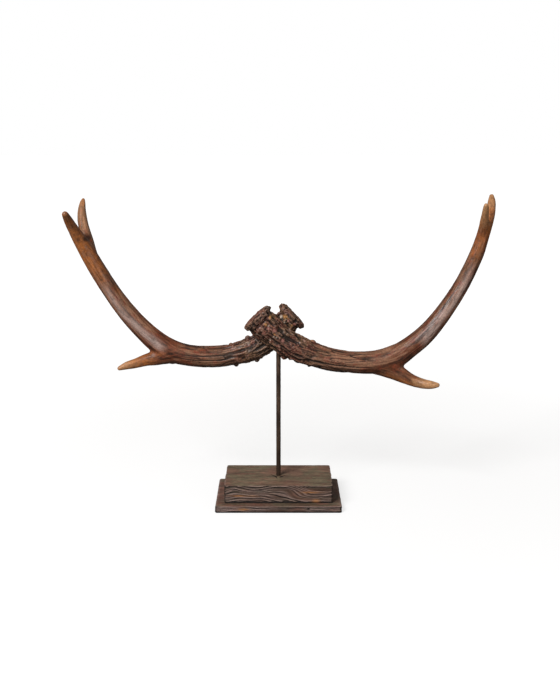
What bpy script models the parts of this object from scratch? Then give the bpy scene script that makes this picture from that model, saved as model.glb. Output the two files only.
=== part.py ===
"""Two shed antlers crossed at their burrs, held on a thin rod above a stepped wooden plinth."""

import math

import bmesh
import bpy
import numpy as np
from mathutils import Matrix, Vector

# Every length here is in millimetres, and MM turns it into scene units.
# X runs to the right, Y away from the viewer, Z up from the table top.
MM = 0.001
GAP = 0.3

# Plinth: a thin board, and a thicker block set in from its edge all round
BOARD_WIDTH = 180.0
BOARD_DEPTH = 111.0
BOARD_HEIGHT = 9.5
LEDGE = 12.8
BLOCK_HEIGHT = 26.0
CORNER = 3.0
EDGE = 1.0
GROOVE_DEPTH = 0.9
WAVES_ROUND = 6
WAVE_SWING = 1.6

# Rod and the two blind holes that hold it
ROD_RADIUS = 3.2
ROD_HOLE_DEPTH = 20.0
CROSSING_HEIGHT = 240.0
ROD_TOP = 4.0
ROD_CHAMFER = 0.8

# Antler skin
VOXEL = 1.6
SKIN_TRIANGLES = 3320
FLUTES = 8
FLUTE_DEPTH = 1.9
FORK_BLEND = 26.0

# Burr: a thick disc with a rough domed face and a ring of knobs round its rim
BURR_RADIUS = 19.5
BURR_HALF_HEIGHT = 6.2
BURR_DOME = 0.72
BURR_KNOBS = 15
KNOB_WIDTH = (3.6, 4.8)
KNOB_STRETCH = 1.25
KNOB_RING = (0.86, 0.95)
KNOB_RISE = 1.5
KNOB_SHIFT = 0.25

# Pearls: small bony beads, thickest near the burr and sunk into the beam
PEARLS = 28
PEARL_SIZE = (2.5, 3.8)
PEARL_REACH = 62
PEARL_SINK = 0.2

# Glue gap where the antler behind is hollowed to take the one in front
COPE_GAP = 0.6

# Centre lines, each station x, y, z, radius, with z measured from the crossing.
# The left antler lies behind at the crossing, and its burr is the right-hand one.
LEFT_ANTLER = {
    "seed": 4,
    "burr": (18.2, 11.0, 31.0),
    "burr_axis": (0.72, 0.0, 0.70),
    "burr_size": 1.04,
    "beam": [
        (18, 11, 31, 18.4), (10, 11, 22.5, 18), (-0.5, 10, 12, 17.6), (-15, 9, -2.6, 17.4),
        (-32, 7, -13.6, 17), (-52, 5.5, -20.8, 15.9), (-73, 4, -25.4, 15), (-96, 2, -26.8, 14.9),
        (-118, 0, -25.4, 14.8), (-139, -2, -21.2, 15.4), (-159.5, -3, -12.5, 16), (-177.6, -4, 1.8, 14.6),
        (-196.9, -5, 21.6, 13.3), (-215, -6, 44.2, 12.5), (-231.7, -8, 69.4, 11.7), (-246.2, -10.5, 95, 11.2),
        (-259.1, -13, 119.8, 10.7), (-268.2, -19, 138.8, 9.1), (-274.2, -28, 154.3, 7.8),
        (-278.2, -38, 167.4, 6.3), (-280.8, -46.5, 177.3, 4.2),
    ],
    "high_point": [
        (-258, -12, 122, 8.4), (-262.5, -4, 139, 8.2), (-267, 5, 152, 7.8), (-271, 14, 165, 7),
        (-272.8, 22, 178, 5.5), (-272.3, 27, 187.5, 4.1), (-271.6, 29.5, 192, 2.6),
    ],
    "lower_tine": [
        (-146, -3, -20, 13), (-160, -5, -23, 12.6), (-173, -8, -26.5, 10.3), (-186, -11, -28.6, 8.5),
        (-198, -15, -32, 7), (-211, -20, -34.3, 5.6), (-222, -25, -36.8, 3.2),
    ],
    "beads": [
        (-30.6, 7, -30.4, 3), (-60.8, 5, -36.6, 3), (-42.4, 7, -1.2, 2.4), (33.6, 11, 21.4, 5),
        (6.6, 11, 45.2, 4.6),
    ],
    "fork": ((-153, -3, -18), (-1, 0, 0.1)),
    "crotch": ((-179, -5, -15.5), (0.1, 0, 1)),
    "crown": ((-263, -16, 128), (-0.4, 0, 0.92)),
    "parting": ((-266, -12, 145), (-0.24, -0.96, 0.13)),
}
RIGHT_ANTLER = {
    "seed": 9,
    "burr": (-29.0, -11.0, 31.6),
    "burr_axis": (-0.68, 0.0, 0.73),
    "burr_size": 1.06,
    "beam": [
        (-29, -11, 31.5, 19.4), (-20.8, -11, 23, 20), (-11.7, -10, 14.5, 19), (0.8, -9, 4.4, 18.1),
        (16.3, -8.5, -6.8, 17.8), (34.6, -8, -15.8, 17.3), (55.8, -7, -23.7, 16.5), (77, -5, -29.7, 15.6),
        (100, -3, -33.3, 15.4), (123, -1, -34.2, 15.5), (144.5, 0, -32.8, 16.6), (165, 1, -26.6, 17),
        (184, 2, -14.4, 14.8), (206.3, 3, 4.4, 13.4), (225.9, 3, 28.4, 12.2), (241.7, 3, 52, 11.1),
        (255.6, 3, 76.1, 10.4), (267, 2, 101.2, 9.8), (275.9, 1, 125.3, 9.1), (282.2, 1, 147.6, 8.4),
        (288.4, 6, 164.2, 6.8), (294.2, 14, 178, 6), (297.2, 22, 190, 4.8), (297.7, 26, 197, 3),
    ],
    "high_point": [
        (279, 0, 140, 7), (280.5, -5, 156, 6.6), (278.6, -14, 169, 5.2), (277.4, -22, 179, 4.3),
        (276, -29, 188, 3.2), (275.4, -31, 190, 2.6),
    ],
    "lower_tine": [
        (140, 0, -36, 14), (155, 0, -41.4, 13.2), (170, -3, -49, 11.3), (183.5, -8, -56, 9.3),
        (194.3, -12, -59.6, 8), (205, -17, -61.6, 6.8), (215.6, -21, -62.2, 5.4), (223, -24, -61.8, 3.3),
    ],
    "beads": [
        (8.2, -8.5, -21, 4), (20.6, -8, -26.4, 3), (49.3, -7, -5.8, 3), (27, -8, 0.6, 4.2),
        (-19.4, -11, 45.2, 4.6), (-42.4, -11, 20, 4.6),
    ],
    "fork": ((155, 1, -32), (1, 0, 0.1)),
    "crotch": ((177, 0, -38.5), (0.16, 0, 0.99)),
    "crown": ((281, 0, 143), (0.3, 0, 0.95)),
    "parting": ((284, -3, 164), (-0.5, -0.86, 0.14)),
}

for leftover in list(bpy.data.objects):
    bpy.data.objects.remove(leftover)


def material(name, color, roughness, metallic=0.0):
    made = bpy.data.materials.new(name)
    made.use_nodes = True
    shader = made.node_tree.nodes["Principled BSDF"]
    shader.inputs["Base Color"].default_value = (*color, 1.0)
    shader.inputs["Roughness"].default_value = roughness
    shader.inputs["Metallic"].default_value = metallic
    return made


def new_object(name, data):
    made = bpy.data.objects.new(name, data)
    bpy.context.scene.collection.objects.link(made)
    return made


def evaluated_mesh(source):
    """The object's shape with its modifiers worked out, as a mesh of its own."""
    bpy.context.view_layer.update()
    graph = bpy.context.evaluated_depsgraph_get()
    return bpy.data.meshes.new_from_object(source.evaluated_get(graph))


def finish(target, surface, sharp_degrees):
    target.data.materials.clear()
    target.data.materials.append(surface)
    target.data.shade_smooth()
    target.data.set_sharp_from_angle(angle=math.radians(sharp_degrees))


def cut_by(target, cutter):
    cutter.hide_render = True
    cutter.display_type = "WIRE"
    cut = target.modifiers.new("Cut by " + cutter.name, "BOOLEAN")
    cut.operation = "DIFFERENCE"
    cut.solver = "EXACT"
    cut.object = cutter


# Boards

def outline(width, depth, along_front, along_side):
    """Points round a rectangle with rounded corners, from the front left, and the way out at each."""
    points, outward = [], []
    signs = [(1, -1), (1, 1), (-1, 1), (-1, -1)]
    half = np.array([width / 2 - CORNER, depth / 2 - CORNER])
    for quarter, sign in enumerate(signs):
        centre = half * sign
        angles = np.radians(90.0 * quarter - 90.0 + np.array([0.0, 30.0, 60.0, 90.0]))
        arc = np.column_stack([np.cos(angles), np.sin(angles)])
        steps = along_side if quarter % 2 == 0 else along_front
        following = half * signs[(quarter + 1) % 4] + CORNER * arc[-1]
        start = centre + CORNER * arc[-1]
        share = np.arange(1, steps)[:, None] / steps
        points += [centre + CORNER * arc, start + (following - start) * share]
        outward += [arc, np.repeat(arc[-1:], steps - 1, axis=0)]
    return np.vstack(points), np.vstack(outward)


def carved_board(name, width, depth, bottom, height, grooves, surface):
    """A board whose edge faces carry wavy grooves that run right round it."""
    points, outward = outline(width, depth, along_front=11, along_side=5)
    turn = np.linspace(0, 2 * np.pi, len(points), endpoint=False)
    inner = np.linspace(EDGE, height - EDGE, 2 * grooves + 1)
    levels = [(0.0, EDGE)]
    levels += [(level, GROOVE_DEPTH * (row % 2)) for row, level in enumerate(inner)]
    levels += [(height, EDGE)]
    shape = bmesh.new()
    rings = []
    for level, inset in levels:
        swing = WAVE_SWING * math.sin(math.pi * level / height) * height / BLOCK_HEIGHT
        z = bottom + level + swing * np.sin(WAVES_ROUND * turn + 0.09 * level)
        flat = points - outward * inset
        rings.append([shape.verts.new((x * MM, y * MM, h * MM)) for (x, y), h in zip(flat, z)])
    for lower, upper in zip(rings, rings[1:]):
        for k in range(len(lower)):
            following = (k + 1) % len(lower)
            shape.faces.new((lower[k], lower[following], upper[following], upper[k]))
    shape.faces.new(list(reversed(rings[0])))
    shape.faces.new(rings[-1])
    mesh = bpy.data.meshes.new(name)
    shape.to_mesh(mesh)
    shape.free()
    board = new_object(name, mesh)
    finish(board, surface, 30)
    return board


# Rod and the drills for its holes

def cylinder(name, radius, low, high, chamfer=0.0):
    """An upright round bar on the centre line, its ends chamfered."""
    profile = [(radius, low), (radius, high)]
    if chamfer > 0.0:
        profile = [(radius - chamfer, low), (radius, low + chamfer), (radius, high - chamfer), (radius - chamfer, high)]
    shape = bmesh.new()
    sides = 24
    rings = []
    for r, z in profile:
        circle = bmesh.ops.create_circle(shape, cap_ends=False, segments=sides, radius=r * MM)["verts"]
        bmesh.ops.translate(shape, verts=circle, vec=(0, 0, (z - low) * MM))
        rings.append(circle)
    for lower, upper in zip(rings, rings[1:]):
        for k in range(sides):
            following = (k + 1) % sides
            shape.faces.new((lower[k], lower[following], upper[following], upper[k]))
    shape.faces.new(rings[0])
    shape.faces.new(rings[-1])
    bmesh.ops.recalc_face_normals(shape, faces=shape.faces)
    mesh = bpy.data.meshes.new(name)
    shape.to_mesh(mesh)
    shape.free()
    bar = new_object(name, mesh)
    bar.location = (0, 0, low * MM)
    return bar


# Antlers

def smooth_line(stations, steps=8):
    """A Catmull-Rom curve through the stations, each sample x, y, z, radius."""
    given = np.array(stations, float)
    padded = np.vstack([2 * given[0] - given[1], given, 2 * given[-1] - given[-2]])
    t = np.linspace(0, 1, steps, endpoint=False)[:, None]
    spans = []
    for a, b, c, d in zip(padded, padded[1:], padded[2:], padded[3:]):
        bend = 2 * a - 5 * b + 4 * c - d
        twist = 3 * b - a - 3 * c + d
        spans.append(0.5 * (2 * b + (c - a) * t + bend * t**2 + twist * t**3))
    return np.vstack(spans + [given[-1:]])


def directions(line):
    """Unit vectors at each sample: along the line, and two across it."""
    along = np.gradient(line[:, :3], axis=0)
    along /= np.linalg.norm(along, axis=1, keepdims=True)
    across = np.cross(along, (0.0, 1.0, 0.0))
    across /= np.linalg.norm(across, axis=1, keepdims=True)
    return along, across, np.cross(across, along)


def add_tube(shape, line):
    """Adds a round stem along the line, closed at the root and domed at its far end."""
    curve = bpy.data.curves.new("stem", "CURVE")
    curve.dimensions = "3D"
    curve.bevel_depth = MM
    curve.bevel_resolution = 5
    curve.use_fill_caps = True
    spline = curve.splines.new("POLY")
    spline.points.add(len(line) - 1)
    spline.points.foreach_set("co", np.column_stack([line[:, :3] * MM, np.ones(len(line))]).ravel())
    spline.points.foreach_set("radius", line[:, 3])
    stem = new_object("stem", curve)
    shape.from_mesh(evaluated_mesh(stem))
    bpy.data.objects.remove(stem)
    tip = Matrix.Translation(Vector(line[-1, :3]) * MM)
    bmesh.ops.create_icosphere(shape, subdivisions=3, radius=line[-1, 3] * MM, matrix=tip)


def add_lump(shape, centre, axis, across, along):
    """Adds an egg-shaped lump with its long or short axis turned to the given direction."""
    turn = Vector((0, 0, 1)).rotation_difference(Vector(axis)).to_matrix().to_4x4()
    scale = Matrix.Diagonal((across * MM, across * MM, along * MM, 1.0))
    place = Matrix.Translation(Vector(centre) * MM) @ turn @ scale
    bmesh.ops.create_icosphere(shape, subdivisions=3, radius=1.0, matrix=place)


def add_burr(shape, centre, axis, size, chance):
    centre = np.array(centre)
    axis = np.array(axis) / np.linalg.norm(axis)
    across = np.cross(axis, (0.0, 1.0, 0.0))
    other = np.cross(axis, across)
    radius = BURR_RADIUS * size
    add_lump(shape, centre, axis, radius, BURR_HALF_HEIGHT)
    add_lump(shape, centre + axis, axis, BURR_DOME * radius, BURR_HALF_HEIGHT)
    for knob in range(BURR_KNOBS):
        angle = 2 * np.pi * (knob + chance.uniform(-KNOB_SHIFT, KNOB_SHIFT)) / BURR_KNOBS
        radial = np.cos(angle) * across + np.sin(angle) * other
        out = radius * chance.uniform(*KNOB_RING)
        rise = chance.uniform(-KNOB_RISE, KNOB_RISE)
        width = chance.uniform(*KNOB_WIDTH)
        add_lump(shape, centre + out * radial + rise * axis, axis, width, KNOB_STRETCH * width)


def add_pearls(shape, line, beads, chance):
    """The larger beads stand where the list puts them, and the rest are scattered."""
    for x, y, z, size in beads:
        add_lump(shape, (x, y, z), (0, 0, 1), size, size)
    along, across, other = directions(line)
    for _ in range(PEARLS):
        at = 3 + int(PEARL_REACH * chance.uniform(0, 1) ** 1.5)
        angle = chance.uniform(0, 2 * np.pi)
        radial = np.cos(angle) * across[at] + np.sin(angle) * other[at]
        size = chance.uniform(*PEARL_SIZE) * (1.0 - 0.4 * at / PEARL_REACH)
        centre = line[at, :3] + radial * (line[at, 3] - PEARL_SINK * size)
        add_lump(shape, centre, along[at], size, size * chance.uniform(1.0, 2.0))


def raise_flutes(mesh, line):
    """Ridges that run lengthwise, deepest by the burr and shallow up the beam."""
    points = np.empty(3 * len(mesh.vertices))
    mesh.vertices.foreach_get("co", points)
    points = points.reshape(-1, 3) / MM
    along, across, other = directions(line)
    offset = points[:, None] - line[None, :, :3]
    near = (np.linalg.norm(offset, axis=2) / line[None, :, 3]).argmin(axis=1)
    arm = offset[np.arange(len(points)), near]
    arm -= (arm * along[near]).sum(axis=1, keepdims=True) * along[near]
    reach = np.linalg.norm(arm, axis=1)
    angle = np.arctan2((arm * other[near]).sum(axis=1), (arm * across[near]).sum(axis=1))
    # The ridges start past the burr, stay deep to the fork, and die out at the tip and on the branches.
    travelled = near / len(line)
    deep = 0.3 + 0.7 * np.clip(1.0 - travelled / 0.4, 0.0, 1.0)
    past_burr = np.clip(near / 14.0, 0.0, 1.0)
    before_tip = np.clip((1.0 - travelled) * 4.0, 0.0, 1.0)
    on_beam = np.clip(3.2 - 2 * reach / line[near, 3], 0.0, 1.0)
    wander = 1.1 * np.sin(0.07 * near) + 0.5 * np.sin(0.19 * near + 2.0)
    ridge = np.cos(FLUTES * angle + wander) + 0.5 * np.cos((FLUTES - 3) * angle - wander)
    lift = 0.5 * FLUTE_DEPTH * deep * past_burr * before_tip * on_beam * ridge
    points += arm / np.maximum(reach, 1.0)[:, None] * lift[:, None]
    mesh.vertices.foreach_set("co", (points * MM).ravel())


def fuse(antler):
    """One closed skin round the stems, burr and pearls of an antler, blended at its forks."""
    chance = np.random.default_rng(antler["seed"])
    shape = bmesh.new()
    beam = smooth_line(antler["beam"])
    add_tube(shape, beam)
    for branch in (antler["high_point"], antler["lower_tine"]):
        add_tube(shape, smooth_line(branch))
    add_burr(shape, antler["burr"], antler["burr_axis"], antler["burr_size"], chance)
    add_pearls(shape, beam, antler["beads"], chance)
    mesh = bpy.data.meshes.new("rough antler")
    shape.to_mesh(mesh)
    shape.free()
    rough = new_object("rough antler", mesh)
    skin = rough.modifiers.new("Skin", "REMESH")
    skin.mode = "VOXEL"
    skin.voxel_size = VOXEL * MM
    rough.data = evaluated_mesh(rough)
    rough.modifiers.clear()

    raise_flutes(rough.data, beam)
    blend = rough.vertex_groups.new(name="forks")
    for vertex in rough.data.vertices:
        for place in ("crotch", "parting"):
            away = (vertex.co / MM - Vector(antler[place][0])).length
            if away < FORK_BLEND:
                blend.add([vertex.index], 1.0 - away / FORK_BLEND, "REPLACE")
    smooth = rough.modifiers.new("Blend the forks", "SMOOTH")
    smooth.vertex_group = "forks"
    smooth.iterations = 10
    thin = rough.modifiers.new("Fewer faces", "DECIMATE")
    thin.ratio = SKIN_TRIANGLES / (2.0 * len(rough.data.polygons))
    whole = evaluated_mesh(rough)
    bpy.data.objects.remove(rough)
    return whole


def keep_side(shape, plane, side):
    """Cuts away what lies on the other side of a plane, less half the gap, and closes the cut."""
    point, normal = Vector(plane[0]), Vector(plane[1]).normalized() * side
    geometry = shape.verts[:] + shape.edges[:] + shape.faces[:]
    bmesh.ops.bisect_plane(
        shape, geom=geometry, dist=1e-7, plane_co=(point + normal * GAP / 2) * MM,
        plane_no=normal, clear_inner=True,
    )
    rim = [edge for edge in shape.edges if edge.is_boundary]
    bmesh.ops.triangle_fill(shape, edges=rim, normal=-normal, use_beauty=True)


def split(prefix, antler, surfaces):
    """Parts the antler at its forks, into five pieces that meet along plane joints."""
    whole = fuse(antler)
    cuts = {
        "lower_beam": [("fork", -1)],
        "lower_tine": [("fork", 1), ("crotch", -1)],
        "upper_beam": [("fork", 1), ("crotch", 1), ("crown", -1)],
        "front_point": [("crown", 1), ("parting", 1)],
        "back_point": [("crown", 1), ("parting", -1)],
    }
    pieces = {}
    for piece, planes in cuts.items():
        shape = bmesh.new()
        shape.from_mesh(whole)
        for plane, side in planes:
            keep_side(shape, antler[plane], side)
        bmesh.ops.recalc_face_normals(shape, faces=shape.faces)
        mesh = bpy.data.meshes.new(prefix + piece)
        shape.to_mesh(mesh)
        shape.free()
        made = new_object(prefix + piece, mesh)
        made.location = (0, 0, CROSSING_HEIGHT * MM)
        finish(made, surfaces[piece], 75)
        pieces[piece] = made
    bpy.data.meshes.remove(whole)
    return pieces


dark_antler = material("Dark beaded antler", (0.105, 0.06, 0.043), 0.5)
brown_antler = material("Red-brown antler", (0.17, 0.09, 0.062), 0.38)
tan_antler = material("Rubbed tan antler", (0.33, 0.185, 0.11), 0.33)
block_wood = material("Carved brown wood", (0.13, 0.08, 0.06), 0.55)
board_wood = material("Dark brown wood", (0.1, 0.064, 0.052), 0.6)
iron = material("Dark brown iron", (0.055, 0.04, 0.032), 0.45, 0.7)

block_top = BOARD_HEIGHT + GAP + BLOCK_HEIGHT
lower_board = carved_board("lower_board", BOARD_WIDTH, BOARD_DEPTH, 0.0, BOARD_HEIGHT, 1, board_wood)
upper_board = carved_board(
    "upper_board", BOARD_WIDTH - 2 * LEDGE, BOARD_DEPTH - 2 * LEDGE,
    BOARD_HEIGHT + GAP, BLOCK_HEIGHT, 4, block_wood,
)

rod_foot = block_top - ROD_HOLE_DEPTH
rod_top = CROSSING_HEIGHT + ROD_TOP
rod = cylinder("rod", ROD_RADIUS, rod_foot + GAP, rod_top, ROD_CHAMFER)
finish(rod, iron, 30)
foot_drill = cylinder("foot drill", ROD_RADIUS + GAP, rod_foot, block_top + ROD_HOLE_DEPTH)
cut_by(upper_board, foot_drill)

antler_surfaces = {
    "lower_beam": dark_antler,
    "lower_tine": tan_antler,
    "upper_beam": brown_antler,
    "front_point": tan_antler,
    "back_point": tan_antler,
}
left = split("left_antler_", LEFT_ANTLER, antler_surfaces)
right = split("right_antler_", RIGHT_ANTLER, antler_surfaces)

# The antler behind is hollowed where the one in front lies against it, and both are drilled for the rod.
cope = new_object("cope", right["lower_beam"].data.copy())
cope.location = right["lower_beam"].location
clearance = cope.modifiers.new("Clearance", "DISPLACE")
clearance.strength = COPE_GAP * MM
clearance.mid_level = 0.0
cut_by(left["lower_beam"], cope)
head_drill = cylinder("head drill", ROD_RADIUS + GAP, CROSSING_HEIGHT - 40.0, rod_top + GAP)
cut_by(left["lower_beam"], head_drill)
cut_by(right["lower_beam"], head_drill)
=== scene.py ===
import math

import bpy
import numpy as np
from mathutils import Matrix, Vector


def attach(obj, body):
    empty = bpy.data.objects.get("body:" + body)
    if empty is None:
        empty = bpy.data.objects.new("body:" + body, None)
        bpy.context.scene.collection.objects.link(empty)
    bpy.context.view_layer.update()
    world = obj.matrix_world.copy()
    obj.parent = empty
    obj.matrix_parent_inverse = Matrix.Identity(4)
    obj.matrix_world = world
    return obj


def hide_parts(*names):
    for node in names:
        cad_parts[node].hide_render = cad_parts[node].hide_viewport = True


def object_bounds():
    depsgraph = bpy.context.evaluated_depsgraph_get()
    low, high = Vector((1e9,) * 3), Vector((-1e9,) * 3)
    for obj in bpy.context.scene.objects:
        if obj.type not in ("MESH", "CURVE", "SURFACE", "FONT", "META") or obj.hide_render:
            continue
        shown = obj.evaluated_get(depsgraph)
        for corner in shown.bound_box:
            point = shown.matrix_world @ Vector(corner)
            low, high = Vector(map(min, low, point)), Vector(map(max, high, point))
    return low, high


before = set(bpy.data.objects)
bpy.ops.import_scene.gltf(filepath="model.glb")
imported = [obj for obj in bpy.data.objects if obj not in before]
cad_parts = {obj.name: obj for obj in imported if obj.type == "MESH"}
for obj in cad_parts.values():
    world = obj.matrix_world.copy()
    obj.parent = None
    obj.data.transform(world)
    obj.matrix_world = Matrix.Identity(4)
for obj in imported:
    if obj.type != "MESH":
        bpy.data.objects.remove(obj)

cad_low, cad_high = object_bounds()


# Lower board: a thin dark-stained plank, 180 x 111 x 9.5 mm, that everything stands on. Its edge
# faces are carved along the grain into shallow wavy lines and its corners are rubbed round. It is
# glued under the block and rests on the table on its flat underside.

MM = 0.001


def smooth_step(low, high, value):
    """0 below low, 1 above high, and 3 t^2 - 2 t^3 of the way between them."""
    t = np.clip((value - low) / (high - low), 0.0, 1.0)
    return t * t * (3.0 - 2.0 * t)


def soft_noise(seed, a, b, around=64):
    """Smooth noise from -1 to 1 over (a, b): seeded values at whole numbers, eased between them
    by 3 t^2 - 2 t^3 both ways. It repeats in a after the given number of cells."""
    table = np.random.default_rng(seed).uniform(-1.0, 1.0, (64, 64))
    cell_a, cell_b = np.floor(a).astype(int), np.floor(b).astype(int)
    part_a, part_b = smooth_step(0, 1, a - cell_a), smooth_step(0, 1, b - cell_b)
    a0, a1 = cell_a % around, (cell_a + 1) % around
    b0, b1 = cell_b % 64, (cell_b + 1) % 64
    near = table[a0, b0] + (table[a1, b0] - table[a0, b0]) * part_a
    far = table[a0, b1] + (table[a1, b1] - table[a0, b1]) * part_a
    return near + (far - near) * part_b


def rounded_outline(width, depth, corner, count):
    """Evenly spaced points round a rectangle with rounded corners, as x, y and the outward
    direction at each: four quarter circles joined by straight sides, walked by length. Also the
    signed distance of each point from the middle of the front, positive to the right."""
    turn = np.radians(np.linspace(0, 90, 16))
    quarters = []
    for quarter, (side, end) in enumerate([(1, -1), (1, 1), (-1, 1), (-1, -1)]):
        angle = turn + math.radians(90 * quarter - 90)
        out = np.column_stack([np.cos(angle), np.sin(angle)])
        centre = np.array([side * (width / 2 - corner), end * (depth / 2 - corner)])
        quarters.append(np.column_stack([centre + corner * out, out]))
    path = np.vstack(quarters + [quarters[0][:1]])
    steps = np.linalg.norm(np.diff(path[:, :2], axis=0), axis=1)
    length = np.concatenate([[0.0], np.cumsum(steps)])
    even = np.linspace(0.0, length[-1], count, endpoint=False)
    points = np.column_stack([np.interp(even, length, column) for column in path.T])
    from_front = (even + width / 2 - corner + length[-1] / 2) % length[-1] - length[-1] / 2
    return points, from_front, length[-1]


def closed_rings(name, rings):
    """A closed surface from rings of points, shape (rings, round, 3): four-sided faces from each
    ring to the next, and a fan of triangles to a pole in the middle of the first and last ring."""
    count, around = rings.shape[:2]
    index = np.arange(count * around).reshape(count, around)
    after = np.roll(index, -1, axis=1)
    quads = np.stack([index[:-1], after[:-1], after[1:], index[1:]], axis=-1).reshape(-1, 4)
    low_pole, high_pole = count * around, count * around + 1
    low_fan = np.column_stack([after[0], index[0], np.full(around, low_pole)])
    high_fan = np.column_stack([index[-1], after[-1], np.full(around, high_pole)])
    poles = np.stack([rings[0].mean(axis=0), rings[-1].mean(axis=0)])
    mesh = bpy.data.meshes.new(name)
    points = np.vstack([rings.reshape(-1, 3), poles]) * MM
    mesh.from_pydata(points.tolist(), [], quads.tolist() + low_fan.tolist() + high_fan.tolist())
    mesh.shade_smooth()
    made = bpy.data.objects.new(name, mesh)
    bpy.context.scene.collection.objects.link(made)
    return made


def paint(piece, name, values):
    """Stores three numbers for each point of the mesh, which its material reads by name."""
    layer = piece.data.attributes.new(name, "FLOAT_VECTOR", "POINT")
    layer.data.foreach_set("vector", np.ascontiguousarray(values, np.float32).ravel())


def rises(along, waves):
    """How far the grain rises at each place along the edge: straight between the points given,
    then the mean over 12 mm, which rounds the waves."""
    at, rise = np.array(waves, float).T
    return sum(np.interp(along + shift, at, rise) for shift in range(-6, 7, 2)) / 7


def patch(x, z, middle, reach):
    """1 in the middle of an egg-shaped patch, falling off as exp(-q), with q the sum of the
    squared distances over the squared reaches."""
    return np.exp(-((x - middle[0]) / reach[0]) ** 2 - ((z - middle[1]) / reach[1]) ** 2)


def crack(x, y, start, end, wide):
    """1 along a straight crack and exp(-(d / w)^2) at distance d from it, thinner at its end."""
    run = np.array(end, float) - np.array(start, float)
    t = np.clip(((x - start[0]) * run[0] + (y - start[1]) * run[1]) / (run @ run), 0, 1)
    away = np.hypot(x - start[0] - t * run[0], y - start[1] - t * run[1])
    return np.exp(-(away / (wide * (1.2 - t))) ** 2)


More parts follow.
